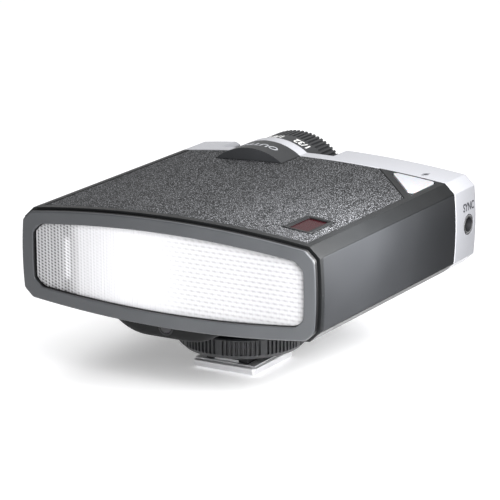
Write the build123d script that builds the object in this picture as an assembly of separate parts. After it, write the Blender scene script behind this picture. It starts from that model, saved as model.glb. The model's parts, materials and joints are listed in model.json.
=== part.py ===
from build123d import *
import math
import os

# A compact shoe-mounted flash. Millimetres, +Z up, the lens looks towards -Y.
# The pieces are drawn about the body: y runs back from the front rim, z runs up
# from the body's mid-height. save() then moves them so that the origin is the
# centre of the foot's underside.

# ---- driving dimensions ------------------------------------------------------

# body cross-section, an octagon with arched top and bottom and bowed sides
half_width = 42.5
side_bow = 0.45
corner_height = 11.8
corner_run = 2.8
corner_rise = 2.6
crown = 2.5
wall = 1.6

# lengths along the body
shell_length = 71.5
parting_gap = 0.2
rear_length = 12.5
rear_wall = 1.9
rear_round = 1.6
clearance = 0.3
running = 0.05

# lens opening
window_half_width = 38.9
window_corner_height = 8.2
window_run = 2.3
window_rise = 2.0
window_crown = 2.1
bezel_thickness = 1.4
bezel_groove = 0.6
bezel_inset = 0.6
bezel_round = 1.5
bezel_edge = 0.45
opening_round = 2.2
opening_edge = 0.25
lens_recess = 1.3
lens_thickness = 2.2
lens_flange = 0.8
skirt_length = 5.0
skirt_wall = 1.2

# reflector and tube
reflector_front_y = 2.4
reflector_depth = 15.0
reflector_half_length = 37.0
reflector_half_height = 7.6
reflector_back_length = 26.0
reflector_back_height = 3.2
reflector_wall = 0.5
tube_radius = 2.0
tube_half_length = 35.2
tube_from_back = 4.6
boot_radius = 3.4
boot_length = 5.0

# top skin, side panel and slave window
leather_thickness = 0.6
leather_half_width = 38.0
leather_front = 2.0
leather_cut = 19.5
leather_cut_run = 17.5
panel_thickness = 0.9
panel_front = 1.3
panel_edge = 0.2
window_x = 30.9
window_y = 15.1
window_width = 5.6
window_length = 10.6
window_frame = 0.85
window_depth = 2.6
window_sunk = 0.35

# power dial, its hood and its pocket
dial_x = -12.9
dial_z = 1.0
dial_radius = 15.8
dial_length = 12.5
dial_band = 5.6
dial_wall = 1.8
dial_ribs = 80
dial_rib_depth = 0.45
hood_radius = 16.3
hood_length = 9.8
hood_wall = 1.5
pocket_front_wall = 3.8
pocket_side = 0.6
pocket_wall = 1.6
pocket_bevel = 1.6
shaft_radius = 2.0
cap_radius = 11.0
cap_thickness = 0.8

# test button
button_left = 24.9
button_right = 37.6
button_from_parting = 1.6
button_length = 14.3
button_corner = 1.0
button_proud = 0.25
button_travel = 0.8
button_height = 5.5

# rear controls
key_travel = 0.6
key_proud = 0.7
mode_key_x = 21.0
lamp_key_x = 11.5
keys_z = 4.2
mode_key_width = 8.0
mode_key_height = 4.2
lamp_key_radius = 2.6
lamps_z = -2.2
lamp_pitch = 4.0
lamp_count = 4
lamp_radius = 0.9
switch_z = -7.4
switch_x = 16.2
switch_travel = 3.0
switch_knob = 4.0
switch_height = 2.4
board_thickness = 1.2
control_board_from_parting = 6.7

# sync socket
jack_from_parting = 7.4
jack_z = -0.4
jack_bore = 1.8
jack_depth = 14.0
jack_sleeve = 2.7
jack_body = 2.7

# batteries, AAA size, and their door
cell_radius = 5.25
cell_length = 44.5
cell_x = -33.7
bay_front = 20.6
bay_length = 47.4
bay_wall = 1.0
door_thickness = 1.3
door_half_height = 8.0
hinge_inset = 1.1
hinge_pin_radius = 0.5
knuckle_radius = 1.1
hinge_room = 1.8
lug_length = 4.0

# pedestal, lock ring and foot
pedestal_x = -8.0
pedestal_half_width = 21.0
pedestal_front = 11.0
pedestal_back = 60.0
pedestal_bottom = -21.2
pedestal_corner = 15.0
pedestal_edge = 1.5
pedestal_wall = 2.0
sensor_z = -18.0
sensor_radius = 1.7
foot_y = 35.5
ring_radius = 16.7
ring_top = -21.5
ring_height = 5.6
ring_bevel = 1.4
ring_pitches = 90
ring_group = 10
ring_flute = 0.6
neck_radius = 11.5
neck_flange = 12.5
neck_width = 12.2
neck_length = 16.0
collar_radius = 14.1
collar_thickness = 1.5
collar_travel = 1.2
foot_width = 18.6
foot_length = 20.0
foot_thickness = 2.0
foot_bevel = 0.3
foot_bottom = -32.3
shim_thickness = 0.3
shim_lip_width = 7.0
shim_lip_height = 0.9
contact_radius = 1.1
contact_proud = 0.4
contact_shoulder = 1.0
contact_flange = 1.6
contact_flange_height = 0.8
insulator_radius = 4.0
insulator_stem = 2.4
spring_wire = 0.25

# screws
housing_screws = [(-20.0, 21.0), (20.0, 21.0), (-20.0, 56.0), (20.0, 56.0)]
pedestal_screw_spread = 6.0
pedestal_screw_rows = (17.0, 54.0)
neck_screws = [(-7.5, 35.5), (7.5, 35.5)]
foot_screw_x = 4.6
foot_screw_y = 5.8
boss_radius = 2.8
screw_head = 2.0
screw_head_height = 1.3
screw_shank = 1.0
screw_seat = -8.5
screw_reach = 7.5
foot_screw_head = 1.4
foot_screw_shank = 0.8
foot_screw_depth = 0.9
foot_screw_reach = 4.0

# ---- derived places ----------------------------------------------------------

rear_y = shell_length + parting_gap
button_back = shell_length - button_from_parting
button_front = button_back - button_length
control_board_y = shell_length + control_board_from_parting
jack_y = shell_length + jack_from_parting
back_y = rear_y + rear_length
dial_front_y = rear_y + pocket_front_wall + 0.4
dial_back_y = dial_front_y + dial_length
bezel_back_y = -bezel_groove
bezel_front_y = bezel_back_y - bezel_thickness
lens_front_y = bezel_front_y + lens_recess
bay_back = bay_front + bay_length
hinge_x = -(half_width - hinge_inset)
hinge_z = -door_half_height
ring_bottom = ring_top - ring_height
foot_top = foot_bottom + foot_thickness
seat_radius = neck_radius + 1.0
pedestal_seat = -(corner_height + crown) + wall + 0.45
pedestal_screws = [(pedestal_x + side * pedestal_screw_spread, y)
                   for y in pedestal_screw_rows for side in (-1, 1)]
tube_y = reflector_front_y + reflector_depth - tube_from_back
far = 200.0


# ---- helpers -----------------------------------------------------------------

def slab(profile, front, back):
    """A front-view profile carried back from y = front to y = back."""
    plane = Plane(origin=(0, back, 0), x_dir=(1, 0, 0), z_dir=(0, -1, 0))
    return extrude(plane * profile, amount=back - front)


def plate(outline, bottom, top):
    """A top-view outline raised from z = bottom to z = top."""
    return extrude(Plane(origin=(0, 0, bottom)) * outline, amount=top - bottom)


def block(x0, x1, y0, y1, z0, z1):
    """A box between two corners."""
    middle = Pos((x0 + x1) / 2, (y0 + y1) / 2, (z0 + z1) / 2)
    return middle * Box(x1 - x0, y1 - y0, z1 - z0)


def rod_x(radius, x0, x1, y, z):
    return Pos((x0 + x1) / 2, y, z) * Rot(0, 90, 0) * Cylinder(radius, x1 - x0)


def rod_y(radius, y0, y1, x, z):
    return Pos(x, (y0 + y1) / 2, z) * Rot(90, 0, 0) * Cylinder(radius, y1 - y0)


def rod_z(radius, z0, z1, x, y):
    return Pos(x, y, (z0 + z1) / 2) * Cylinder(radius, z1 - z0)


def octagon(width, height, run, rise, arch, bow):
    """An octagon with cut corners whose top and bottom arch up by `arch` and sides out by `bow`."""
    flat = width - run
    low = height - rise
    outline = [
        ThreePointArc((-flat, height), (0, height + arch), (flat, height)),
        Line((flat, height), (width, low)),
        ThreePointArc((width, low), (width + bow, 0), (width, -low)),
        Line((width, -low), (flat, -height)),
        ThreePointArc((flat, -height), (0, -height - arch), (-flat, -height)),
        Line((-flat, -height), (-width, -low)),
        ThreePointArc((-width, -low), (-width - bow, 0), (-width, low)),
        Line((-width, low), (-flat, height)),
    ]
    return make_face(outline)


def section(inset=0.0):
    """The body's cross-section, moved in by `inset` all round."""
    outline = octagon(half_width, corner_height, corner_run, corner_rise, crown, side_bow)
    return offset(outline, amount=-inset, kind=Kind.INTERSECTION) if inset else outline


def opening(inset=0.0):
    """The lens opening's outline, moved in by `inset` all round."""
    outline = octagon(
        window_half_width, window_corner_height, window_run, window_rise, window_crown, 0.15
    )
    outline = fillet(outline.vertices(), opening_round)
    return offset(outline, amount=-inset, kind=Kind.INTERSECTION) if inset else outline


def skin(depth, front, back):
    """The outer `depth` millimetres of the body between two places along it."""
    return slab(section() - section(depth), front, back)


def fluted(radius, depth, pitches, group=0):
    """A round outline with one flute to a pitch; the last flute of each group is left out."""
    pitch = 2 * math.pi / pitches
    points = []
    for i in range(pitches):
        deep = 0 if group and i % group == group - 1 else depth
        for share, sunk in ((0.0, 0), (0.42, 0), (0.56, deep), (0.86, deep)):
            angle = (i + share) * pitch
            reach = radius - sunk
            points.append((reach * math.cos(angle), reach * math.sin(angle)))
    return make_face(Polyline(*points, close=True))


def screw(x, y, seat, tip, head=screw_head, height=screw_head_height, shank=screw_shank):
    """A cross-recessed screw along Z whose head rests on z = seat and whose shank ends at tip."""
    away = 1 if seat > tip else -1
    top = seat + away * height
    body = rod_z(head, *sorted((seat, top)), x, y)
    body += rod_z(shank, *sorted((seat, tip)), x, y)
    recess = sorted((top - away * height / 2, top))
    arm = head * 0.6
    body -= block(x - arm, x + arm, y - 0.2, y + 0.2, *recess)
    return body - block(x - 0.2, x + 0.2, y - arm, y + arm, *recess)


def coil(radius, wire, turns, height):
    """A compression spring standing on z = 0."""
    path = Helix(pitch=height / turns, height=height, radius=radius)
    start = Plane(origin=path @ 0, z_dir=path % 0)
    return sweep(start * Circle(wire), path)


# ---- front: bezel, lens, reflector, tube -------------------------------------

def front_bezel():
    face = fillet(section(bezel_inset).vertices(), bezel_round)
    ring = slab(face, bezel_front_y, bezel_back_y)
    ring = fillet(ring.faces().sort_by(Axis.Y)[0].edges(), bezel_edge)
    ring += slab(section(wall + 0.1), bezel_back_y, skirt_length)
    ring -= slab(section(wall + 0.1 + skirt_wall), lens_front_y + lens_thickness, skirt_length)
    ring -= slab(opening(), bezel_front_y, 0)
    ring = fillet(ring.faces().sort_by(Axis.Y)[0].inner_wires()[0].edges(), opening_edge)
    ring -= slab(opening(-lens_flange), lens_front_y + 0.3, lens_front_y + lens_thickness)
    return ring


def fresnel_lens():
    lens = slab(opening(-lens_flange + 0.1), lens_front_y + 0.35, lens_front_y + lens_thickness)
    return lens + slab(opening(0.1), lens_front_y, lens_front_y + 0.35)


def trough(grow):
    """The reflector's pyramid: a long mouth narrowing to a slot at the back."""
    mouth = Plane(origin=(0, reflector_front_y, 0), x_dir=(1, 0, 0), z_dir=(0, -1, 0))
    back = mouth.offset(-reflector_depth)
    wide = Rectangle(2 * (reflector_half_length + grow), 2 * (reflector_half_height + grow))
    narrow = Rectangle(2 * (reflector_back_length + grow), 2 * (reflector_back_height + grow))
    return loft([mouth * wide, back * narrow], ruled=True)


def reflector():
    shell = trough(reflector_wall) - trough(0)
    back = reflector_front_y + reflector_depth
    plate_x = reflector_back_length + reflector_wall
    plate_z = reflector_back_height + reflector_wall
    shell += block(-plate_x, plate_x, back - 0.1, back + reflector_wall, -plate_z, plate_z)
    shell -= rod_x(tube_radius + 0.4, -tube_half_length, tube_half_length, tube_y, 0)
    return shell


def flash_tube():
    glass = rod_x(tube_radius, -tube_half_length, tube_half_length, tube_y, 0)
    return glass - rod_x(tube_radius - 0.5, 2.5 - tube_half_length, tube_half_length - 2.5, tube_y, 0)


def tube_boots():
    boots = []
    for side in (-1, 1):
        ends = sorted((side * (tube_half_length - boot_length / 2),
                       side * (tube_half_length + boot_length / 2)))
        boot = rod_x(boot_radius, *ends, tube_y, 0)
        boots.append(boot - rod_x(tube_radius, -tube_half_length, tube_half_length, tube_y, 0))
    return boots


# ---- shell: covers, skin, panel, window, hood --------------------------------

def hood_cylinder(front, back):
    return rod_y(hood_radius, front, back, dial_x, dial_z)


def hood_front():
    return shell_length - hood_length


def button_outline(grow=0.0):
    """The test button's triangle with rounded corners, seen from above."""
    corners = [
        (button_left, button_back),
        (button_right, button_back),
        (button_right, button_front),
    ]
    triangle = make_face(Polyline(*corners, close=True))
    rounded = fillet(triangle.vertices(), button_corner)
    return offset(rounded, amount=grow) if grow else rounded


def leather_outline():
    """The top skin's outline: a rectangle that leaves out the rear right corner."""
    left = -leather_half_width
    right = leather_half_width
    points = [
        (left, leather_front),
        (right, leather_front),
        (right, shell_length - leather_cut),
        (right - leather_cut_run, shell_length),
        (left, shell_length),
    ]
    return make_face(Polyline(*points, close=True))


def window_plan(grow):
    size = (window_width + 2 * grow, window_length + 2 * grow)
    return Pos(window_x, window_y) * Rectangle(*size)


def leatherette_top():
    sheet = skin(leather_thickness, leather_front, shell_length)
    sheet &= plate(leather_outline(), 0, far)
    sheet -= plate(window_plan(window_frame), 0, far)
    return sheet - hood_cylinder(hood_front(), shell_length)


def panel_blank():
    panel = skin(panel_thickness, panel_front, shell_length)
    low = corner_height - corner_rise
    return panel & block(0, far, panel_front, shell_length, -low, low)


def side_panel():
    panel = panel_blank()
    return chamfer(panel.faces().sort_by(Axis.X)[-1].edges(), panel_edge)


def slave_window():
    """The red window, a little below the skin around it."""
    lid = slab(section(window_sunk) - section(window_depth), 0, shell_length)
    return lid & plate(window_plan(0), 0, far)


def housing_bosses(lower):
    """The screw pillars of one cover, trimmed to the inside of the wall."""
    z0, z1 = (-far, 0) if lower else (0, far)
    pillars = Part() + [rod_z(boss_radius, z0, z1, x, y) for x, y in housing_screws]
    return pillars & slab(section(wall / 2), 0, shell_length)


def battery_way(grow=0.0):
    """The way in for the batteries, through the left wall."""
    return block(
        -far, cell_x, bay_front - grow, bay_back + grow,
        hinge_z - grow, door_half_height + grow,
    )


def hinge_lug_places():
    """Where the two hinge lugs start along the door."""
    quarter = bay_length / 4
    return [bay_front + quarter - lug_length / 2, bay_back - quarter - lug_length / 2]


def top_cover():
    cover = skin(wall, 0, shell_length) & block(-far, far, 0, shell_length, 0, far)
    cover -= leatherette_top()
    cover -= panel_blank()
    cover -= plate(window_plan(0), 0, far)
    cover -= battery_way(clearance)
    cover -= plate(button_outline(clearance), 0, far)
    cover += housing_bosses(lower=False)
    for x, y in housing_screws:
        cover -= rod_z(screw_shank, 0, screw_reach + 0.5, x, y)
    return cover


def bottom_cover():
    cover = skin(wall, 0, shell_length) & block(-far, far, 0, shell_length, -far, 0)
    cover -= panel_blank()
    cover -= battery_way(clearance)
    cover -= rod_y(hinge_room, bay_front - clearance, bay_back + clearance, hinge_x, hinge_z)
    cover += housing_bosses(lower=True)
    for x, y in housing_screws:
        cover -= rod_z(screw_shank + 0.1, -far, 0, x, y)
        cover -= rod_z(screw_head + 0.2, -far, screw_seat, x, y)
    pads = Part() + [rod_z(screw_head + 0.4, -far, pedestal_seat, x, y)
                     for x, y in pedestal_screws + neck_screws]
    cover += pads & slab(section(wall / 2), 0, shell_length)
    for x, y in pedestal_screws + neck_screws:
        cover -= rod_z(screw_shank + 0.1, -far, 0, x, y)
    cover -= rod_z(4.0, -far, 0, 0, foot_y)
    for start in hinge_lug_places():
        lug = rod_y(knuckle_radius, start, start + lug_length, hinge_x, hinge_z)
        root = block(hinge_x - 0.6, hinge_x + 1.6, start, start + lug_length, hinge_z - 2.2, hinge_z)
        cover += lug + root & slab(section(0.05), 0, shell_length)
        cover -= rod_y(hinge_pin_radius, start, start + lug_length, hinge_x, hinge_z)
    return cover


def dial_hood():
    front = hood_front()
    hood = hood_cylinder(front, shell_length)
    hood -= rod_y(hood_radius - hood_wall, front + hood_wall, shell_length, dial_x, dial_z)
    return (hood - slab(section(), 0, shell_length)) & block(-far, far, 0, shell_length, 0, far)


# ---- rear housing ------------------------------------------------------------

def pocket(grow, front):
    """The notch that the dial turns in, open above, behind and below."""
    reach = dial_radius + pocket_side + grow
    return block(dial_x - reach, dial_x + reach, front, far, -far, far)


def rear_housing():
    outer = slab(section(), rear_y, back_y)
    edges = outer.faces().sort_by(Axis.Y)[-1].edges()
    outer = fillet(edges, rear_round)
    hollow = slab(section(wall), rear_y, back_y - rear_wall)
    wall_front = rear_y + pocket_front_wall - pocket_wall
    hollow -= pocket(pocket_wall, wall_front)
    housing = outer - hollow
    housing += slab(section(wall / 2) - section(2 * wall + 0.1), rear_y, rear_y + 1.6)
    lip = slab(section(wall + 0.1) - section(2 * wall + 0.1), rear_y - 2.6, rear_y)
    housing += lip - plate(button_outline(1.5), 0, far)
    collar = rod_y(hood_radius, rear_y, rear_y + pocket_front_wall, dial_x, dial_z)
    housing += collar & block(-far, far, 0, far, corner_height - 2, far)
    notch = pocket(0, rear_y + pocket_front_wall)
    housing -= notch
    for side in (-1, 1):
        edge_x = dial_x + side * (dial_radius + pocket_side)
        edge_z = corner_height + crown * (1 - (edge_x / (half_width - corner_run)) ** 2)
        turned = Pos(edge_x, 0, edge_z) * Rot(0, 45 * side, 0) * block(
            -pocket_bevel / 2, pocket_bevel / 2, rear_y + pocket_front_wall, far,
            -pocket_bevel, pocket_bevel,
        )
        housing -= turned
    housing -= rod_y(shaft_radius + 1.5, rear_y, far, dial_x, dial_z)
    housing -= rod_x(jack_sleeve + 0.05, 30, far, jack_y, jack_z)
    housing -= key_hole(mode_key_x, mode_key_width / 2, mode_key_height / 2)
    housing -= rod_y(lamp_key_radius + clearance, back_y - 4, far, lamp_key_x, keys_z)
    for x in lamp_places():
        housing -= rod_y(lamp_radius, back_y - 4, far, x, lamps_z)
    housing -= switch_slot()
    return housing


def key_hole(x, half_w, half_h):
    return block(
        x - half_w - clearance, x + half_w + clearance, back_y - 4, far,
        keys_z - half_h - clearance, keys_z + half_h + clearance,
    )


def lamp_places():
    first = switch_x - lamp_pitch * (lamp_count - 1) / 2
    return [first + lamp_pitch * i for i in range(lamp_count)]


def switch_slot():
    reach = switch_knob / 2 + clearance
    return block(
        switch_x - reach, switch_x + reach + switch_travel, back_y - 4, far,
        switch_z - switch_height / 2 - clearance, switch_z + switch_height / 2 + clearance,
    )


def mode_button():
    front = control_board_y + board_thickness + 1.2
    key = block(
        mode_key_x - mode_key_width / 2, mode_key_x + mode_key_width / 2,
        front + 0.6, back_y + key_proud,
        keys_z - mode_key_height / 2, keys_z + mode_key_height / 2,
    )
    key = fillet(key.edges().filter_by(Axis.Y), mode_key_height / 2 - 0.05)
    key = fillet(key.faces().sort_by(Axis.Y)[-1].edges(), 0.35)
    flange = block(
        mode_key_x - mode_key_width / 2 - 0.8, mode_key_x + mode_key_width / 2 + 0.8,
        front + 0.6, back_y - rear_wall - 0.1,
        keys_z - mode_key_height / 2 - 0.8, keys_z + mode_key_height / 2 + 0.8,
    )
    return key + flange


def lamp_button():
    front = control_board_y + board_thickness + 1.2
    key = rod_y(lamp_key_radius, front + 0.6, back_y + key_proud, lamp_key_x, keys_z)
    key = fillet(key.faces().sort_by(Axis.Y)[-1].edges(), 0.5)
    return key + rod_y(lamp_key_radius + 0.8, front + 0.6, back_y - rear_wall - 0.1,
                       lamp_key_x, keys_z)


def key_switches():
    """The two snap switches on the control board, under the rear keys."""
    back = control_board_y + board_thickness
    return [
        block(x - 3, x + 3, back, back + 1.0, keys_z - 3, keys_z + 3)
        for x in (lamp_key_x, mode_key_x)
    ]


def mode_lamps():
    front = control_board_y + board_thickness
    return [
        rod_y(lamp_radius, front, back_y - 0.05, x, lamps_z) for x in lamp_places()
    ]


def control_board():
    right = jack_left() - 0.8
    left = dial_x + dial_radius + pocket_side + pocket_wall + 0.6
    board = block(left, right, control_board_y, control_board_y + board_thickness,
                  -corner_height + wall + 1, corner_height - wall - 1)
    return board


def switch_frame():
    """The power switch's fixed frame on the control board."""
    back = control_board_y + board_thickness
    frame = block(switch_x - 4, switch_x + 7, back, back + 1.6, switch_z - 1.9, switch_z + 1.9)
    return frame


def switch_knob_part():
    front = control_board_y + board_thickness + 1.9
    stem = block(
        switch_x - switch_knob / 2, switch_x + switch_knob / 2, front, back_y + key_proud,
        switch_z - switch_height / 2, switch_z + switch_height / 2,
    )
    stem = fillet(stem.faces().sort_by(Axis.Y)[-1].edges(), 0.3)
    for i in (-1, 0, 1):
        x = switch_x + i * 1.1
        stem -= block(x - 0.2, x + 0.2, back_y + key_proud - 0.3, far,
                      switch_z - switch_height, switch_z + switch_height)
    return stem


# ---- sync socket -------------------------------------------------------------

def jack_mouth():
    return half_width + side_bow - 0.05


def jack_left():
    return jack_mouth() - jack_depth - 1.5


def sync_socket():
    flange_x = half_width - wall - 0.4
    body = block(jack_left(), flange_x, jack_y - jack_body, jack_y + jack_body,
                 jack_z - jack_body, jack_z + jack_body)
    body += rod_x(jack_sleeve, flange_x, jack_mouth(), jack_y, jack_z)
    return body - rod_x(jack_bore, jack_mouth() - jack_depth, far, jack_y, jack_z)


# ---- power dial --------------------------------------------------------------

def power_dial():
    band = rod_y(dial_radius, dial_front_y, dial_front_y + dial_band, dial_x, dial_z)
    ribbed = Pos(dial_x, 0, dial_z) * slab(
        fluted(dial_radius, dial_rib_depth, dial_ribs), dial_front_y + dial_band, dial_back_y
    )
    dial = band + ribbed
    back = dial_back_y - dial_wall
    dial -= rod_y(dial_radius - dial_rib_depth - dial_wall, dial_front_y, back, dial_x, dial_z)
    dial += rod_y(shaft_radius + dial_wall, dial_front_y, back, dial_x, dial_z)
    dial -= rod_y(shaft_radius, dial_front_y, back, dial_x, dial_z)
    return dial - rod_y(cap_radius, dial_back_y - cap_thickness, dial_back_y, dial_x, dial_z)


def dial_cap():
    cap = rod_y(cap_radius, dial_back_y - cap_thickness, dial_back_y + 0.2, dial_x, dial_z)
    cap = chamfer(cap.faces().sort_by(Axis.Y)[-1].edges(), 0.2)
    mark = block(dial_x - 0.4, dial_x + 0.4, dial_back_y - 0.1, far,
                 dial_z + cap_radius - 4.5, dial_z + cap_radius - 1)
    return cap - mark


def dial_shaft():
    return rod_y(shaft_radius, rear_y - 7, dial_back_y - dial_wall, dial_x, dial_z)


def rotary_switch():
    """The selector behind the dial: a round can and the threaded bush that holds it."""
    can = rod_y(8.0, rear_y - 9, rear_y - 0.4, dial_x, dial_z)
    can += rod_y(shaft_radius + 1.5, rear_y - 0.4, rear_y + pocket_front_wall, dial_x, dial_z)
    can -= rod_y(shaft_radius + running, rear_y - 7.4, far, dial_x, dial_z)
    return can


# ---- test button -------------------------------------------------------------

def test_button():
    cap = plate(button_outline(), corner_height - button_height, far)
    cap &= slab(section(-button_proud), 0, shell_length)
    flange = plate(button_outline(0.9), corner_height - button_height, far)
    flange &= slab(section(wall + 0.1), 0, shell_length)
    return cap + flange


def button_centre():
    x = (button_left + 2 * button_right) / 3
    y = (2 * button_back + button_front) / 3
    return x, y


def test_plunger():
    x, y = button_centre()
    return rod_z(1.5, 1.5, corner_height - button_height, x, y)


def test_switch():
    x, y = button_centre()
    body = block(x - 3, x + 3, y - 3, y + 3, -1, 3)
    return body - rod_z(1.5 + running, 0.2, 3, x, y)


def test_board():
    x, y = button_centre()
    return block(x - 5, x + 5, y - 5, y + 5, -1 - board_thickness, -1)


# ---- inside the body ---------------------------------------------------------

def main_board():
    board = block(-20.5, 38.0, 24.5, 57.0, -9.6, -9.6 + board_thickness)
    for x, y in housing_screws:
        board -= rod_z(boss_radius + 0.4, -far, far, x, y)
    return board


def main_capacitor():
    can = rod_x(8.0, -18.0, 18.0, 33.5, 0.2)
    can = fillet(can.edges(), 0.8)
    return can


def transformer():
    core = block(21.5, 35.5, 26.5, 40.5, -8.4, 2.0)
    gap = block(21.5, 35.5, 28.5, 38.5, -6.9, 0.5)
    return core - gap


def transformer_coil():
    return fillet(block(22.5, 34.5, 28.6, 38.4, -6.8, 0.4).edges().filter_by(Axis.X), 1.5)


def trigger_coil():
    return rod_z(3.5, -8.4, 2.0, 10.0, 49.0)


def power_transistor():
    return block(-8.0, 2.0, 46.0, 50.5, -8.4, 6.0)


def sensor_diode():
    """The slave sensor under the red window."""
    return block(window_x - 2, window_x + 2, window_y + 5.5, window_y + 8, 6.0, 9.0)


# ---- battery bay and door ----------------------------------------------------

def battery_tray():
    inner_x = cell_x + cell_radius + 0.4
    outer_x = cell_x - cell_radius
    height = 2 * cell_radius - 0.6
    tray = block(inner_x, inner_x + bay_wall, bay_front - bay_wall, bay_back + bay_wall,
                 -height, height)
    tray += block(outer_x, inner_x, bay_front - bay_wall, bay_front, -height, height)
    tray += block(outer_x, inner_x, bay_back, bay_back + bay_wall, -height, height)
    shelf = block(inner_x - 1.4, inner_x, bay_front, bay_back, -0.6, 0.6)
    return tray + shelf & slab(section(wall + 0.1), 0, shell_length)


def battery_cells():
    cells = []
    for side, start in ((-1, bay_front + 0.6), (1, bay_back - 0.6 - cell_length)):
        z = side * (cell_radius + 0.05)
        can_start, can_end = start, start + cell_length - 1.0
        nub = (can_end, can_end + 1.0)
        if side > 0:
            can_start, can_end = start + 1.0, start + cell_length
            nub = (start, can_start)
        can = rod_y(cell_radius - 0.05, can_start, can_end, cell_x, z)
        can = fillet(can.edges(), 0.4)
        cells.append(can + rod_y(1.9, *nub, cell_x, z))
    return cells


def battery_plates():
    """The flat contacts: one joins the two cells at the front."""
    low = block(cell_x - 4, cell_x + 4, bay_front, bay_front + 0.4, -8.5, 8.5)
    ends = [block(cell_x - 4, cell_x + 4, bay_back - 0.4, bay_back, s - 4, s + 4)
            for s in (-5.3, 5.3)]
    return [low] + ends


def battery_springs():
    gap = bay_length - cell_length - 0.6 - 0.4
    springs = []
    for side, base, turn in ((-1, bay_back - 0.4, 90), (1, bay_front + 0.4, -90)):
        spring = coil(2.6, spring_wire, 3, gap - 2 * spring_wire - 0.1)
        lifted = Pos(0, 0, spring_wire) * spring
        springs.append(Pos(cell_x, base, side * (cell_radius + 0.05)) * Rot(turn, 0, 0) * lifted)
    return springs


def battery_door():
    door = skin(door_thickness, bay_front, bay_back)
    door &= block(-far, 0, bay_front, bay_back, hinge_z, door_half_height)
    door += rod_y(knuckle_radius, bay_front, bay_back, hinge_x, hinge_z)
    for start in hinge_lug_places():
        door -= block(-far, hinge_x + 3, start - clearance, start + lug_length + clearance,
                      hinge_z - 3, hinge_z + knuckle_radius + clearance)
    door -= rod_y(hinge_pin_radius + running, bay_front, bay_back, hinge_x, hinge_z)
    middle = (bay_front + bay_back) / 2
    door += block(-half_width + 0.6, -half_width + door_thickness + 1.0, middle - 5, middle + 5,
                  door_half_height - 2.0, door_half_height)
    for i in range(3):
        z = door_half_height - 2.2 - 1.2 * i
        door -= block(-far, -half_width - 0.05, middle - 7, middle + 7, z - 0.25, z + 0.25)
    return door


def hinge_pin():
    return rod_y(hinge_pin_radius, bay_front, bay_back, hinge_x, hinge_z)


# ---- pedestal, lock ring, foot -----------------------------------------------

def pedestal_outline(inset=0.0):
    width = 2 * (pedestal_half_width - inset)
    bottom = pedestal_bottom + inset
    tall = 0 - bottom
    outline = Pos(pedestal_x, bottom + tall / 2) * Rectangle(width, tall)
    low = outline.vertices().group_by(Axis.Y)[0]
    return fillet(low, pedestal_corner - inset)


def shoe_pedestal():
    boat = slab(pedestal_outline(), pedestal_front, pedestal_back)
    for end in (0, -1):
        rim = boat.faces().sort_by(Axis.Y)[end].edges().filter_by(
            lambda edge: edge.center().Z < -1
        )
        boat = fillet(rim, pedestal_edge)
    hollow = slab(pedestal_outline(pedestal_wall), pedestal_front + pedestal_wall,
                  pedestal_back - pedestal_wall)
    pillars = Part() + [rod_z(boss_radius, pedestal_bottom, 0, x, y)
                        for x, y in pedestal_screws + housing_screws]
    seat = rod_z(seat_radius, pedestal_bottom, 0, 0, foot_y)
    boat = boat - (hollow - pillars) + seat
    boat -= slab(section(), 0, shell_length)
    for x, y in housing_screws:
        boat -= rod_z(screw_head + 0.2, -far, 0, x, y)
    for x, y in pedestal_screws:
        boat -= rod_z(screw_shank, pedestal_bottom + 1.5, 0, x, y)
    for x, y in neck_screws:
        boat -= rod_z(screw_shank + 0.1, -far, 0, x, y)
    boat -= rod_z(4.0, -far, 0, 0, foot_y)
    return boat - rod_y(sensor_radius + 0.5, 0, pedestal_front + 3, pedestal_x, sensor_z)


def auto_sensor():
    """The light sensor's clear lens in the pedestal's front."""
    lens = rod_y(sensor_radius, pedestal_front - 0.3, pedestal_front + 2.6, pedestal_x, sensor_z)
    return fillet(lens.faces().sort_by(Axis.Y)[0].edges(), 0.5)


def auto_sensor_ring():
    ring = rod_y(sensor_radius + 0.5, pedestal_front - 0.1, pedestal_front + 2.6, pedestal_x, sensor_z)
    return ring - rod_y(sensor_radius, 0, far, pedestal_x, sensor_z)


def shoe_neck():
    """The fixed stem: a round post for the ring, a flange that keeps it, a square post below."""
    post = rod_z(neck_radius, pedestal_bottom - 2.1, pedestal_bottom, 0, foot_y)
    post += rod_z(neck_flange, pedestal_bottom - 3.4, pedestal_bottom - 2.1, 0, foot_y)
    post += block(-neck_width / 2, neck_width / 2, foot_y - neck_length / 2,
                  foot_y + neck_length / 2, foot_top, pedestal_bottom - 3.4)
    post -= rod_z(insulator_stem, foot_top, pedestal_bottom, 0, foot_y)
    for x, y in foot_screw_places():
        post -= rod_z(foot_screw_shank, foot_top, foot_bottom + foot_screw_reach, x, y)
    for x, y in neck_screws:
        post -= rod_z(screw_shank, pedestal_bottom - 2.8, pedestal_bottom, x, y)
    return post


def lock_ring():
    top, bottom = ring_top, ring_bottom
    lip = pedestal_bottom - 2.1 + 0.2
    keep = pedestal_bottom - 3.4 - 0.3
    profile = Polyline(
        (neck_radius + 0.1, top), (ring_radius - 0.4, top), (ring_radius, top - 0.4),
        (ring_radius, bottom + ring_bevel), (ring_radius - ring_bevel, bottom),
        (collar_radius + 0.3, bottom), (collar_radius + 0.3, keep),
        (neck_flange + 0.3, keep), (neck_flange + 0.3, lip), (neck_radius + 0.1, lip),
        close=True,
    )
    ring = revolve(Plane.XZ * make_face(profile), Axis.Z)
    grip = plate(fluted(ring_radius, ring_flute, ring_pitches, ring_group),
                 bottom + ring_bevel - 0.2, top - 0.6)
    smooth = Cylinder(far, 2 * far) - rod_z(far, bottom + ring_bevel - 0.2, top - 0.6, 0, 0)
    return Pos(0, foot_y, 0) * (ring & (grip + smooth))


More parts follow.
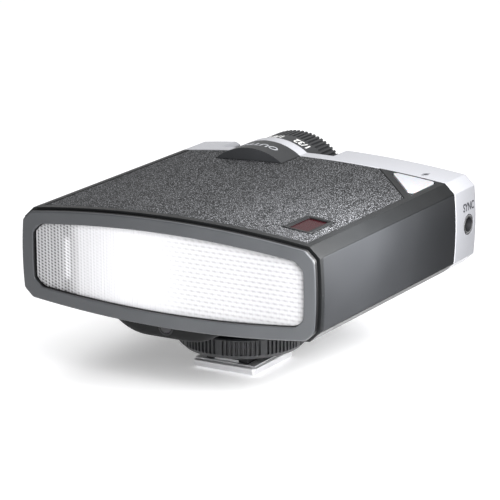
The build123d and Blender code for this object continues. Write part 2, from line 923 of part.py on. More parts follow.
def clamp_collar():
    top = pedestal_bottom - 3.4 - 0.5
    disc = rod_z(collar_radius, top - collar_thickness, top, 0, foot_y)
    disc = chamfer(disc.faces().sort_by(Axis.Z)[0].edges(), 0.3)
    return disc - block(
        -neck_width / 2 - 0.2, neck_width / 2 + 0.2,
        foot_y - neck_length / 2 - 0.2, foot_y + neck_length / 2 + 0.2, -far, 0,
    )


def foot_plate():
    foot = block(-foot_width / 2, foot_width / 2, foot_y - foot_length / 2,
                 foot_y + foot_length / 2, foot_bottom, foot_top)
    foot = chamfer(foot.edges().filter_by(Axis.Z), 0.8)
    foot = chamfer(foot.faces().sort_by(Axis.Z)[0].edges(), foot_bevel)
    foot = chamfer(foot.faces().sort_by(Axis.Z)[-1].edges(), foot_bevel)
    foot -= rod_z(insulator_radius, foot_bottom, foot_top, 0, foot_y)
    for x, y in foot_screw_places():
        foot -= rod_z(foot_screw_head + 0.1, foot_bottom, foot_bottom + foot_screw_depth, x, y)
        foot -= rod_z(foot_screw_shank, foot_bottom, foot_top, x, y)
    return foot


def foot_screw_places():
    signs = ((-1, -1), (1, -1), (-1, 1), (1, 1))
    return [(i * foot_screw_x, foot_y + j * foot_screw_y) for i, j in signs]


def shoe_shim():
    """The spring-steel plate on top of the foot, with a lip turned up in front of the neck."""
    front = foot_y - neck_length / 2
    margin = foot_bevel + 0.2
    shim = block(-foot_width / 2 + margin, foot_width / 2 - margin, front - 1.2,
                 foot_y + foot_length / 2 - 1.2, foot_top, foot_top + shim_thickness)
    shim += block(-shim_lip_width / 2, shim_lip_width / 2, front - 0.1 - shim_thickness,
                  front - 0.1, foot_top, foot_top + shim_lip_height)
    return shim - block(-neck_width / 2 - 0.1, neck_width / 2 + 0.1, front - 0.1,
                        foot_y + neck_length / 2 + 0.1, foot_top, far)


def contact_top():
    return pedestal_bottom - 3.4


def contact_insulator():
    """The plastic plug in the foot; the contact slides in its stepped bore."""
    plug = rod_z(insulator_radius, foot_bottom, foot_top, 0, foot_y)
    plug += rod_z(insulator_stem, foot_top, contact_top(), 0, foot_y)
    plug -= rod_z(contact_radius + running, foot_bottom, foot_top, 0, foot_y)
    return plug - rod_z(contact_flange + running, foot_bottom + contact_shoulder,
                        contact_top() - 1.0, 0, foot_y)


def contact_pin():
    low = foot_bottom + contact_shoulder + 0.02
    pin = rod_z(contact_radius, foot_bottom - contact_proud, low, 0, foot_y)
    pin = fillet(pin.faces().sort_by(Axis.Z)[0].edges(), 0.35)
    return pin + rod_z(contact_flange, low, low + contact_flange_height, 0, foot_y)


def contact_spring():
    low = foot_bottom + contact_shoulder + 0.02 + contact_flange_height
    height = contact_top() - 1.0 - low - 2 * spring_wire
    return Pos(0, foot_y, low + spring_wire) * coil(contact_radius, spring_wire * 0.7, 5, height)


# ---- screws ------------------------------------------------------------------

def housing_screw_set():
    return [screw(x, y, screw_seat, screw_reach) for x, y in housing_screws]


def pedestal_screw_set():
    set_in = [screw(x, y, pedestal_seat, pedestal_bottom + 2.5) for x, y in pedestal_screws]
    return set_in + [screw(x, y, pedestal_seat, pedestal_bottom - 2.5) for x, y in neck_screws]


def foot_screw_set():
    seat = foot_bottom + foot_screw_depth
    tip = foot_bottom + foot_screw_reach - 0.3
    return [
        screw(x, y, seat, tip, foot_screw_head, foot_screw_depth - 0.1, foot_screw_shank)
        for x, y in foot_screw_places()
    ]


# ---- hand over ---------------------------------------------------------------

def save(name, shape):
    """Moves a piece to the row's frame and writes it; a list is one group of solids."""
    pieces = shape if isinstance(shape, list) else [shape]
    solids = [solid for piece in pieces for solid in piece.solids()]
    moved = [solid.moved(Location((0, -foot_y, -foot_bottom))) for solid in solids]
    whole = moved[0] if len(moved) == 1 else Compound(children=moved)
    export_step(whole, os.path.join("parts", name + ".step"))
    print(name, len(solids))


PIECES = {
    "front_bezel": front_bezel,
    "fresnel_lens": fresnel_lens,
    "reflector": reflector,
    "flash_tube": flash_tube,
    "tube_boots": tube_boots,
    "top_cover": top_cover,
    "bottom_cover": bottom_cover,
    "leatherette_top": leatherette_top,
    "side_panel": side_panel,
    "slave_window": slave_window,
    "slave_sensor": sensor_diode,
    "dial_hood": dial_hood,
    "rear_housing": rear_housing,
    "power_dial": power_dial,
    "dial_cap": dial_cap,
    "dial_shaft": dial_shaft,
    "rotary_switch": rotary_switch,
    "test_button": test_button,
    "test_plunger": test_plunger,
    "test_switch": test_switch,
    "test_board": test_board,
    "mode_button": mode_button,
    "lamp_button": lamp_button,
    "key_switches": key_switches,
    "mode_lamps": mode_lamps,
    "control_board": control_board,
    "power_switch_knob": switch_knob_part,
    "power_switch_frame": switch_frame,
    "sync_socket": sync_socket,
    "main_board": main_board,
    "main_capacitor": main_capacitor,
    "transformer_core": transformer,
    "transformer_coil": transformer_coil,
    "trigger_coil": trigger_coil,
    "power_transistor": power_transistor,
    "battery_tray": battery_tray,
    "battery_cells": battery_cells,
    "battery_plates": battery_plates,
    "battery_springs": battery_springs,
    "battery_door": battery_door,
    "door_hinge_pin": hinge_pin,
    "shoe_pedestal": shoe_pedestal,
    "auto_sensor_lens": auto_sensor,
    "auto_sensor_ring": auto_sensor_ring,
    "shoe_neck": shoe_neck,
    "lock_ring": lock_ring,
    "clamp_collar": clamp_collar,
    "foot_plate": foot_plate,
    "shoe_shim": shoe_shim,
    "contact_insulator": contact_insulator,
    "contact_pin": contact_pin,
    "contact_spring": contact_spring,
    "housing_screws": housing_screw_set,
    "pedestal_screws": pedestal_screw_set,
    "foot_screws": foot_screw_set,
}

os.makedirs("parts", exist_ok=True)
for name, make in PIECES.items():
    save(name, make())
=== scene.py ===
# %% [markdown]
# # A compact shoe-mounted flash
#
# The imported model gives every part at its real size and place. This notebook dresses it:
# it gives each part the finish it has on the real object, makes the surfaces whose fine
# relief a plain solid can't hold (leatherette grain, lens prisms, printed figures), and sets
# up a studio with a floor, soft lights and a camera.

import json
import math

import bpy
import numpy as np
from mathutils import Matrix, Vector


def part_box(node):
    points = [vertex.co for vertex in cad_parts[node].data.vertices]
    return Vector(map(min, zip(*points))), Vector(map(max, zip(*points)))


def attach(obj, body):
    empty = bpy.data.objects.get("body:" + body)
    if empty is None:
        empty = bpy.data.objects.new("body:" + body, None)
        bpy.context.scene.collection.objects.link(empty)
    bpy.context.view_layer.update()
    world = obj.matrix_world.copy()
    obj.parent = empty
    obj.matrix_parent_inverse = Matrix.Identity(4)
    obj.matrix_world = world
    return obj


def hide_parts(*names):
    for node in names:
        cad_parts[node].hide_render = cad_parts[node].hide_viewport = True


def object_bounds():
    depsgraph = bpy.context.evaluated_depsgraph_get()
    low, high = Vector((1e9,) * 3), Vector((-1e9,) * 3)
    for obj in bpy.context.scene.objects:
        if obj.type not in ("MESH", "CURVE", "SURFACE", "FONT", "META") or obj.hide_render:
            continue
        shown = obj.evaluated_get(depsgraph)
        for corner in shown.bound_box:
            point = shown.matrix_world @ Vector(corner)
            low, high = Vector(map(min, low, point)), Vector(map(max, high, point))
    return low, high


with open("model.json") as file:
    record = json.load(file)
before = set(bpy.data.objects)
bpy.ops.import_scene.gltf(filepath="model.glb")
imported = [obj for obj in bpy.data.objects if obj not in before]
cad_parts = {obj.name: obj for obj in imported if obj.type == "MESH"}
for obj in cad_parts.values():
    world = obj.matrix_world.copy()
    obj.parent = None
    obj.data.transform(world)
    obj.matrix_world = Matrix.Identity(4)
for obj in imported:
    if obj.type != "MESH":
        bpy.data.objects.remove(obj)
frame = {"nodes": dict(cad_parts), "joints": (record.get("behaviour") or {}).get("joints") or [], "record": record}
nodes = frame["nodes"]
joints = {joint["name"]: joint for joint in frame["joints"]}
cad_box = [list(corner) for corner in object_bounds()]
mm = 0.001
print("parts", len(nodes), "box in mm", np.round(np.array(cad_box) / mm, 1).tolist())

# %% [markdown]
# ## Places and sizes
#
# The body is an octagon tube lying along Y: a wide arched top, two small cut corners and a
# bowed side. Its sizes are read from the boxes of the parts, so that every surface made here
# lies on the solid below it.

# %% Read the body's sizes from its parts
shell_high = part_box("top_cover")[1]
bezel_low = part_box("front_bezel")[0]
leather_low, leather_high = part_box("leatherette_top")
window_low, window_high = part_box("slave_window")
lens_low, lens_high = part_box("fresnel_lens")
dial_low, dial_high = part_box("power_dial")
hood_low, hood_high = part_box("dial_hood")
rear_low, rear_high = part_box("rear_housing")

corner_run = 2.8 * mm
crown = 2.5 * mm
crown_half_width = 42.5 * mm - corner_run
crown_top = shell_high.z
crown_radius = (crown_half_width**2 + crown**2) / (2 * crown)
dial_centre = Vector(joints["dial_turn"]["pos_m"])
dial_radius = (dial_high.x - dial_low.x) / 2
hood_radius = 16.3 * mm


def crown_height(x):
    """Height of the body's arched top at x: a circle arc through the crown and both corners."""
    return crown_top - crown_radius + np.sqrt(crown_radius**2 - x**2)


print("arch radius in mm", round(crown_radius / mm, 1))

# %% [markdown]
# ## Camera
#
# A long lens, about 200 mm, from a little above and to the right of the front. A long lens
# far away keeps the edges of a small product nearly parallel. The place is in metres.

# %% Camera
azimuth, elevation, roll = math.radians(30.55), math.radians(15.22), math.radians(-0.43)
camera_place = (0.36263, -0.61054, 0.22285)
back = Vector((math.sin(azimuth) * math.cos(elevation),
               -math.cos(azimuth) * math.cos(elevation), math.sin(elevation)))
right = Vector((math.cos(azimuth), math.sin(azimuth), 0))
up = back.cross(right)
camera_data = bpy.data.cameras.new("studio_camera")
camera_data.sensor_width = 36
camera_data.lens = 207.07
camera_data.clip_end = 20
camera = bpy.data.objects.new("studio_camera", camera_data)
turned_right = right * math.cos(roll) + up * math.sin(roll)
turned_up = up * math.cos(roll) - right * math.sin(roll)
camera.matrix_world = Matrix.Translation(camera_place) @ Matrix(
    (turned_right, turned_up, back)).transposed().to_4x4()
bpy.context.scene.collection.objects.link(camera)
bpy.context.scene.camera = camera

# %% [markdown]
# ## Materials: helpers
#
# Blender's shaders want linear colour, while colours are matched in sRGB, so one
# function turns a hex value to linear. The others add a node with its settings and links,
# start a material, and make a colour ramp, noise of a set size and a value moved to a range.

# %% Colour and node helpers


def linear(code):
    """An sRGB hex colour as linear red, green, blue, alpha."""
    parts = [int(code[i:i + 2], 16) / 255 for i in (0, 2, 4)]
    return [v / 12.92 if v <= 0.04045 else ((v + 0.055) / 1.055) ** 2.4 for v in parts] + [1.0]


def add(tree, kind, inputs=None, **settings):
    """Adds a node. inputs maps a socket's name or number to a value or to another node's output."""
    node = tree.nodes.new(kind)
    for name, value in settings.items():
        setattr(node, name, value)
    for key, value in (inputs or {}).items():
        socket = node.inputs[key]
        if isinstance(value, bpy.types.NodeSocket):
            tree.links.new(value, socket)
        else:
            socket.default_value = value
    return node


def new_material(name, colour, roughness, **sockets):
    """A Principled material: its tree, shader and the place where colour comes from."""
    material = bpy.data.materials.new(name)
    material.use_nodes = True
    tree = material.node_tree
    shader = tree.nodes["Principled BSDF"]
    shader.inputs["Base Color"].default_value = linear(colour)
    shader.inputs["Roughness"].default_value = roughness
    for key, value in sockets.items():
        shader.inputs[key.replace("_", " ")].default_value = value
    place = add(tree, "ShaderNodeTexCoord").outputs["Object"]
    return material, tree, shader, place


def ramp(tree, source, stops):
    """A colour ramp over a value; stops are (position, hex colour)."""
    node = add(tree, "ShaderNodeValToRGB", {"Fac": source})
    elements = node.color_ramp.elements
    while len(elements) < len(stops):
        elements.new(0.5)
    for element, (position, colour) in zip(elements, stops):
        element.position = position
        element.color = linear(colour)
    return node.outputs["Color"]


def fine_noise(tree, place, size_mm, detail=2.0):
    """Noise whose lumps are about size_mm across."""
    return add(tree, "ShaderNodeTexNoise",
               {"Vector": place, "Scale": 1 / (size_mm * mm), "Detail": detail}).outputs["Fac"]


def between(tree, value, low, high):
    """A 0 to 1 value moved to run from low to high."""
    return add(tree, "ShaderNodeMapRange", {"Value": value, "To Min": low, "To Max": high}
               ).outputs["Result"]


# %% [markdown]
# ## Moulded plastics
#
# Most of the body is moulded ABS, and the mould's fine spark texture gives it a soft matt
# look. It takes three scales of noise: about 0.25 mm for the texture itself, 3 mm for how
# polished it is, and 12 mm for the slow variation of its colour. Real mouldings have rounded
# edges of a few tenths of a millimetre, which a Bevel node adds to the shading.

# %% Moulded plastic


def moulded(name, dark, light, roughness, grain_mm=0.25, grain=0.12, edge_mm=0.25, **sockets):
    """Spark-textured plastic: colour drifts between dark and light, and grain is fine bump."""
    material, tree, shader, place = new_material(name, light, roughness, **sockets)
    drift = fine_noise(tree, place, 12.0, 3.0)
    tree.links.new(ramp(tree, drift, ((0.3, dark), (0.7, light))), shader.inputs["Base Color"])
    worn = fine_noise(tree, place, 3.0, 4.0)
    tree.links.new(between(tree, worn, roughness - 0.06, roughness + 0.06),
                   shader.inputs["Roughness"])
    soft_edge = add(tree, "ShaderNodeBevel", {"Radius": edge_mm * mm}, samples=4)
    texture = fine_noise(tree, place, grain_mm, 2.0)
    bump = add(tree, "ShaderNodeBump", {"Height": texture, "Strength": grain,
                                        "Distance": 0.05 * mm,
                                        "Normal": soft_edge.outputs["Normal"]})
    tree.links.new(bump.outputs["Normal"], shader.inputs["Normal"])
    return material


shell_abs = moulded("black_abs_fine_spark", "141516", "1a1b1c", 0.42, grain=0.15,
                   Specular_IOR_Level=0.25)
dial_abs = moulded("black_abs_smooth", "2b2c2e", "323335", 0.38, grain=0.05, edge_mm=0.15,
                  Specular_IOR_Level=0.35)
pedestal_abs = moulded("black_abs_matt", "101112", "161718", 0.5, Specular_IOR_Level=0.25)
neck_abs = moulded("black_nylon_glass_filled", "1b1c1e", "232427", 0.55, grain=0.25)
key_abs = moulded("grey_abs_satin", "47494d", "505257", 0.4)
inner_abs = moulded("black_pbt_inner_moulding", "1c1c1e", "29292c", 0.5)

# %% [markdown]
# The bezel's face is lacquered grey. How deep a point lies behind the face decides its colour: from
# 0.3 mm back, on the rounded edge, the opening's inner walls and the sides, it is painted near-black as painted
# shade.

# %% Bezel lacquer and painted shade
shade_begins, shade_full = bezel_low.y + 0.3 * mm, bezel_low.y + 0.42 * mm
bezel_abs = moulded("grey_lacquer_on_black_abs", "434548", "4a4c4f", 0.4, grain=0.06,
                    edge_mm=0.3)
tree = bezel_abs.node_tree
shader = tree.nodes["Principled BSDF"]
lacquer = shader.inputs["Base Color"].links[0].from_socket
place = add(tree, "ShaderNodeTexCoord").outputs["Object"]
depth_y = add(tree, "ShaderNodeSeparateXYZ", {"Vector": place}).outputs["Y"]
behind = add(tree, "ShaderNodeMapRange", {
    "Value": depth_y, "From Min": shade_begins, "From Max": shade_full})
# painted shade: points more than 0.3 mm behind the face turn near-black
mixed = add(tree, "ShaderNodeMixRGB", {"Fac": behind.outputs["Result"], "Color1": lacquer,
                                       "Color2": linear("0b0b0c")})
tree.links.new(mixed.outputs["Color"], shader.inputs["Base Color"])

# %% [markdown]
# ## Silver lacquer
#
# The rear housing is ABS sprayed with a fine silver-white lacquer. The flakes are too small
# to be seen one by one, so they show only as a soft sheen: a low metallic value, and a thin
# clear coat.

# %% Silver lacquer
silver, tree, shader, place = new_material(
    "silver_white_lacquer", "c2c3c8", 0.36, Metallic=0.1, Coat_Weight=0.2, Coat_Roughness=0.2)
flake = add(tree, "ShaderNodeTexVoronoi", {"Vector": place, "Scale": 1 / (0.12 * mm)})
tone = ramp(tree, flake.outputs["Distance"], ((0.0, "c8c9ce"), (1.0, "bbbcc2")))
tree.links.new(tone, shader.inputs["Base Color"])
soft_edge = add(tree, "ShaderNodeBevel", {"Radius": 0.3 * mm}, samples=4)
peel = add(tree, "ShaderNodeBump", {"Height": fine_noise(tree, place, 1.2), "Strength": 0.04,
                                    "Distance": 0.05 * mm, "Normal": soft_edge.outputs["Normal"]})
tree.links.new(peel.outputs["Normal"], shader.inputs["Normal"])

# %% [markdown]
# ## Side panel
#
# The right side carries a dark panel with a satin lacquer that mirrors the studio softly, so
# most of its look is a broad, blurred reflection.

# %% Side panel lacquer
panel_lacquer, tree, shader, place = new_material(
    "graphite_satin_lacquer", "2a2b2d", 0.36, Specular_IOR_Level=0.25)
drift = fine_noise(tree, place, 20.0)
tree.links.new(ramp(tree, drift, ((0.3, "28292b"), (0.7, "2d2e30"))), shader.inputs["Base Color"])
soft_edge = add(tree, "ShaderNodeBevel", {"Radius": 0.2 * mm}, samples=4)
peel = add(tree, "ShaderNodeBump", {"Height": fine_noise(tree, place, 0.5), "Strength": 0.03,
                                    "Distance": 0.05 * mm, "Normal": soft_edge.outputs["Normal"]})
tree.links.new(peel.outputs["Normal"], shader.inputs["Normal"])

# %% [markdown]
# ## Metals
#
# Steel and aluminium parts keep the default IOR and are fully metallic, apart from the foot,
# whose thin nickel has dulled. Turned and stamped parts differ in their marks: fine scratches
# for the foot, circles for the dial's cap.

# %% Metals


def metal(name, colour, roughness, stretch=(1, 1, 1), mark_mm=0.3, depth=0.08):
    """A metal whose fine marks are noise stretched along one direction."""
    material, tree, shader, place = new_material(name, colour, roughness, Metallic=1.0)
    along = add(tree, "ShaderNodeMapping", {"Vector": place, "Scale": stretch}).outputs["Vector"]
    marks = fine_noise(tree, along, mark_mm, 4.0)
    tree.links.new(between(tree, marks, roughness - 0.08, roughness + 0.1),
                   shader.inputs["Roughness"])
    soft_edge = add(tree, "ShaderNodeBevel", {"Radius": 0.15 * mm}, samples=4)
    bump = add(tree, "ShaderNodeBump", {"Height": marks, "Strength": depth, "Distance": 0.03 * mm,
                                        "Normal": soft_edge.outputs["Normal"]})
    tree.links.new(bump.outputs["Normal"], shader.inputs["Normal"])
    return material


foot_steel = metal("nickel_plated_steel_brushed", "f4f4f6", 0.42, stretch=(0.08, 1, 1))
foot_steel.node_tree.nodes["Principled BSDF"].inputs["Metallic"].default_value = 0.7
zinc_steel = metal("zinc_plated_steel", "b9babd", 0.35)
spring_steel = metal("spring_steel_bright", "a9aaad", 0.28)
gold = metal("gold_plated_brass", "d9ae55", 0.22)
copper = metal("enamelled_copper_wire", "a2542a", 0.35, stretch=(1, 1, 0.05), mark_mm=0.2,
               depth=0.4)
bright_aluminium = metal("bright_anodised_aluminium", "eceef2", 0.12, mark_mm=2.0, depth=0.02)
can_sleeve = metal("aluminium_can_sleeved", "23242c", 0.4)
cell_film = metal("cell_jacket_film", "b08a3a", 0.3)

# turned in a lathe: rings around the dial's own axis
turned_aluminium, tree, shader, place = new_material(
    "spun_aluminium", "c9cacc", 0.25, Metallic=1.0)
centred = add(tree, "ShaderNodeMapping", {"Vector": place, "Location": -dial_centre})
rings = add(tree, "ShaderNodeTexWave",
            {"Vector": centred.outputs["Vector"], "Scale": 1 / (1.6 * mm), "Distortion": 0.3},
            wave_type="RINGS", rings_direction="Y")
bump = add(tree, "ShaderNodeBump", {"Height": rings.outputs["Fac"], "Strength": 0.25,
                                    "Distance": 0.02 * mm})
tree.links.new(bump.outputs["Normal"], shader.inputs["Normal"])

# %% [markdown]
# ## Clear and translucent plastics
#
# The lens is a little transmissive, and its brightness is painted light: an attribute made with
# its surface paints it white with grey creases. The button, the red window and the sensors are
# solid resins with a glossy skin.

# %% Clear and translucent plastics
# painted light: the sheet is painted white where the reflector's light would show through the
# prisms, and grey in its creases
lens_acrylic, tree, shader, place = new_material(
    "clear_acrylic_prism_sheet", "fafaff", 0.12, IOR=1.49, Transmission_Weight=0.12)
painted_tone = add(tree, "ShaderNodeAttribute", attribute_name="gathered_light").outputs["Fac"]
tree.links.new(ramp(tree, painted_tone, ((0.0, "000000"), (1.0, "fcfcff"))),
               shader.inputs["Base Color"])

button_acrylic, tree, shader, place = new_material(
    "opal_white_acrylic", "bcbdc1", 0.22, IOR=1.49, Subsurface_Weight=0.2,
    Subsurface_Scale=1.5 * mm)
soft_edge = add(tree, "ShaderNodeBevel", {"Radius": 0.3 * mm}, samples=4)
tree.links.new(soft_edge.outputs["Normal"], shader.inputs["Normal"])

# the red window's inner face is moulded with a fine chequer
red_acrylic, tree, shader, place = new_material(
    "dark_red_acrylic", "26060a", 0.25, Specular_IOR_Level=0.2)
chequer_mm = 0.7
weave = add(tree, "ShaderNodeTexChecker", {
    "Vector": place, "Scale": 1 / (chequer_mm * mm),
    "Color1": linear("28050a"), "Color2": linear("1c0407")})
tree.links.new(weave.outputs["Color"], shader.inputs["Base Color"])

sensor_resin = new_material("dark_clear_resin", "120d16", 0.08, IOR=1.54)[0]
lamp_resin = moulded("clear_lamp_resin", "d6ded6", "e2e8e2", 0.2, grain=0.02)
silicone = moulded("silicone_rubber", "d2d2cc", "dadad5", 0.55, grain=0.05)
tube_glass = new_material(
    "clear_tube_glass", "ffffff", 0.02, IOR=1.47, Transmission_Weight=1.0)[0]

# %% [markdown]
# The boards and the transformer's core are inside the body, and get simple finishes.

# %% Boards and ferrite
board_mask = moulded("green_solder_mask", "0f4a2a", "16603a", 0.3, grain=0.05)
ferrite = moulded("sintered_ferrite", "202022", "2b2b2e", 0.6, grain=0.4)

# %% [markdown]
# ## Each part gets its finish

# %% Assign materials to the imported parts
finishes = {
    bezel_abs: ["front_bezel"],
    lens_acrylic: ["fresnel_lens"],
    bright_aluminium: ["reflector"],
    tube_glass: ["flash_tube"],
    silicone: ["tube_boots"],
    shell_abs: ["top_cover", "bottom_cover", "leatherette_top", "battery_door"],
    panel_lacquer: ["side_panel"],
    red_acrylic: ["slave_window"],
    sensor_resin: ["slave_sensor", "auto_sensor_lens"],
    dial_abs: ["dial_hood", "power_dial", "lock_ring", "clamp_collar"],
    silver: ["rear_housing"],
    turned_aluminium: ["dial_cap"],
    zinc_steel: ["dial_shaft", "door_hinge_pin", "housing_screws", "pedestal_screws",
                 "foot_screws"],
    spring_steel: ["battery_springs", "battery_plates", "contact_spring"],
    foot_steel: ["foot_plate", "shoe_shim"],
    gold: ["contact_pin"],
    button_acrylic: ["test_button"],
    key_abs: ["mode_button", "power_switch_knob"],
    lamp_resin: ["lamp_button", "mode_lamps"],
    inner_abs: ["rotary_switch", "test_plunger", "test_switch", "key_switches",
                "power_switch_frame", "sync_socket", "power_transistor", "battery_tray",
                "auto_sensor_ring", "contact_insulator"],
    board_mask: ["test_board", "control_board", "main_board"],
    can_sleeve: ["main_capacitor"],
    ferrite: ["transformer_core"],
    copper: ["transformer_coil", "trigger_coil"],
    cell_film: ["battery_cells"],
    pedestal_abs: ["shoe_pedestal"],
    neck_abs: ["shoe_neck"],
}
for material, names in finishes.items():
    for name in names:
        nodes[name].data.materials.clear()
        nodes[name].data.materials.append(material)
dressed = [name for names in finishes.values() for name in names]
print("parts without a finish", sorted(set(nodes) - set(dressed)))

# %% [markdown]
# ## Surfaces from numbers
#
# A surface is a grid of points: two parameters, one point for each pair. The faces join
# neighbours, so a function that turns whole arrays into x, y and z is all a shape needs.

# %% Grid to mesh


def grid_faces(rows, columns, ring=False):
    """Corner numbers of the quads of a grid; ring joins its last row and column to the first."""
    number = np.arange(rows * columns).reshape(rows, columns)
    if ring:
        number = np.concatenate([number, number[:1]], axis=0)
        number = np.concatenate([number, number[:, :1]], axis=1)
    return np.stack([number[:-1, :-1], number[:-1, 1:], number[1:, 1:], number[1:, :-1]],
                    axis=-1).reshape(-1, 4)


def closed_skin(outer, inner, faces):
    """Two grids of points with the same faces, joined along every open edge into one skin.

    An edge is open when no face runs along it the other way. Each open edge gets a wall
    down to the inner grid. Points that no face uses are dropped."""
    outer, inner = outer.reshape(-1, 3), inner.reshape(-1, 3)
    count = len(outer)
    edges = np.concatenate([faces[:, [i, (i + 1) % 4]] for i in range(4)])
    forward = edges[:, 0] * count + edges[:, 1]
    backward = edges[:, 1] * count + edges[:, 0]
    rim = edges[~np.isin(forward, backward)]
    walls = np.stack([rim[:, 0] + count, rim[:, 1] + count, rim[:, 1], rim[:, 0]], axis=1)
    whole = np.concatenate([faces, faces[:, ::-1] + count, walls])
    used, numbers = np.unique(whole, return_inverse=True)
    return np.concatenate([outer, inner])[used], numbers.reshape(-1, 4), used


def mesh_piece(name, points, faces, material, body, smooth=True):
    """Puts points and faces into a mesh object that rides on a body."""
    mesh = bpy.data.meshes.new(name)
    mesh.from_pydata(np.asarray(points, float).reshape(-1, 3).tolist(), [],
                     [[int(i) for i in face] for face in faces])
    mesh.materials.append(material)
    mesh.polygons.foreach_set("use_smooth", np.full(len(mesh.polygons), smooth))
    mesh.update()
    piece = bpy.data.objects.new(name, mesh)
    bpy.context.scene.collection.objects.link(piece)
    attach(piece, body)
    print(name, len(mesh.polygons), "faces")
    return piece


# %% [markdown]
# ## Leatherette
#
# Leatherette is vinyl with a leather grain pressed into it: irregular pebbles about a
# millimetre across with narrow creases between them. The pebbles come from scattered seed
# points. Where the two nearest seeds are equally far there is a crease, so the difference of
# the two distances gives the height.

# %% Leatherette grain


def pebbles(x, y, size, seed):
    """Distance to the second nearest seed minus distance to the nearest, in units of size.

    One seed sits at a random place in each square of a lattice; for each point the seeds of
    the nine squares around it are compared."""
    lattice = 256
    u, v = x / size, y / size
    cell_u, cell_v = np.floor(u).astype(int), np.floor(v).astype(int)
    seeds = np.random.default_rng(seed).random((lattice, lattice, 2))
    distances = []
    for du in (-1, 0, 1):
        for dv in (-1, 0, 1):
            jitter = seeds[(cell_u + du) % lattice, (cell_v + dv) % lattice]
            distances.append(np.hypot(cell_u + du + jitter[..., 0] - u,
                                      cell_v + dv + jitter[..., 1] - v))
    nearest = np.sort(np.stack(distances), axis=0)
    return nearest[1] - nearest[0]


def grain(x, y):
    """Height of the grain from 0 in a crease to 1 on a pebble, of two sizes mixed."""
    coarse = np.clip(pebbles(x, y, 1.0 * mm, 1) / 0.45, 0, 1)
    fine = np.clip(pebbles(x, y, 0.55 * mm, 2) / 0.5, 0, 1)
    return 0.65 * np.sqrt(coarse) + 0.35 * np.sqrt(fine)


# %% [markdown]
# The sheet covers the top from just behind the front edge to the rear parting. Its rear right
# corner is cut off for the test button, it goes round the red window, and it stops at the
# dial's hood. The grid's lines pass through all those edges, and behind the diagonal's start
# the lines to its right are squeezed together so that they follow it.

# %% Leatherette sheet
step = 0.34 * mm
front_y, back_y = leather_low.y, leather_high.y
half = 38.0 * mm
cut_start = back_y - 19.5 * mm
cut_run = 17.5 * mm
frame_gap = 1.15 * mm
sheet_lift = -0.02 * mm
grain_depth = 0.2 * mm
rim_width, rim_drop = 0.5 * mm, 0.1 * mm
sheet_underside = 0.55 * mm
hole_x = (window_low.x - frame_gap, window_high.x + frame_gap)
hole_y = (window_low.y - frame_gap, window_high.y + frame_gap)
hood_reach = math.sqrt(hood_radius**2 - (float(crown_height(dial_centre.x)) - dial_centre.z)**2)
hood_x = (dial_centre.x - hood_reach, dial_centre.x + hood_reach)


def lines_through(marks, spacing):
    """Grid lines about spacing apart that pass through every mark."""
    spans = [np.linspace(a, b, max(1, round((b - a) / spacing)), endpoint=False)
             for a, b in zip(marks, marks[1:])]
    return np.concatenate(spans + [[marks[-1]]])


across = lines_through([-half, hood_x[0], hood_x[1], hole_x[0], hole_x[1], half], step)
along = lines_through([front_y, hole_y[0], hole_y[1], cut_start, hood_low.y, back_y], step)
X, Y = np.meshgrid(across, along)
edge = np.where(Y > cut_start, half - cut_run * (Y - cut_start) / (back_y - cut_start), half)
pivot = hood_x[1]
X = np.where(X > pivot, pivot + (X - pivot) * (edge - pivot) / (half - pivot), X)
margin = np.minimum.reduce([X + half, edge - X, Y - front_y, back_y - Y])
rim = np.clip(margin / rim_width, 0, 1)
relief = grain(X, Y)
Z = crown_height(X) + sheet_lift - grain_depth * (1 - relief) * rim - rim_drop * (1 - rim)
faces = grid_faces(*X.shape)
centre_x = across[:-1] + np.diff(across) / 2
centre_y = along[:-1] + np.diff(along) / 2
CX, CY = np.meshgrid(centre_x, centre_y)
in_hole = (CX > hole_x[0]) & (CX < hole_x[1]) & (CY > hole_y[0]) & (CY < hole_y[1])
in_hood = (CX > hood_x[0]) & (CX < hood_x[1]) & (CY > hood_low.y)
faces = faces[~(in_hole | in_hood).ravel()]

# painted light: the colour is painted near-black in the creases and at the sheet's rim, where shade
# falls, and light on the pebble tops as a painted highlight; the finest pebbles, about half a
# millimetre across, are cells of a texture
leatherette, tree, shader, place = new_material(
    "vinyl_leather_grain", "3a3b3d", 0.5, Specular_IOR_Level=0.25)
height = add(tree, "ShaderNodeAttribute", attribute_name="grain_height").outputs["Fac"]
cell_mm = 0.5
cells = add(tree, "ShaderNodeTexVoronoi", {"Vector": place, "Scale": 1 / (cell_mm * mm)},
            feature="DISTANCE_TO_EDGE").outputs["Distance"]
painted_pebble_light = add(tree, "ShaderNodeMath", {0: height, 1: cells}, operation="MULTIPLY").outputs["Value"]
tree.links.new(ramp(tree, painted_pebble_light, ((0.0, "0a0a0b"), (0.08, "1e1f21"), (0.2, "77787b"))),
               shader.inputs["Base Color"])
tree.links.new(between(tree, cells, 0.6, 0.4), shader.inputs["Roughness"])
bump = add(tree, "ShaderNodeBump", {"Height": cells, "Strength": 0.8, "Distance": 0.25 * mm})
tree.links.new(bump.outputs["Normal"], shader.inputs["Normal"])
below = crown_height(X) - sheet_underside
points, faces, used = closed_skin(np.stack([X, Y, Z], axis=-1), np.stack([X, Y, below], axis=-1),
                                  faces)
leather_sheet = mesh_piece("leather_sheet", points, faces, leatherette, "housing")
# the grain's height, which the material turns into painted shade in the creases and painted highlights on the
# pebbles
shade = np.concatenate([relief.ravel() * rim.ravel(), np.zeros(relief.size)])[used]
attribute = leather_sheet.data.attributes.new("grain_height", "FLOAT", "POINT")
attribute.data.foreach_set("value", shade.astype(np.float32))
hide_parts("leatherette_top")

# %% [markdown]
# A low black frame stands between the leather and the red window. Its section is carried
# round a rectangle with rounded corners: at each point of the path the section is set out
# along the outward direction, so the corners stay even.

# %% Window frame


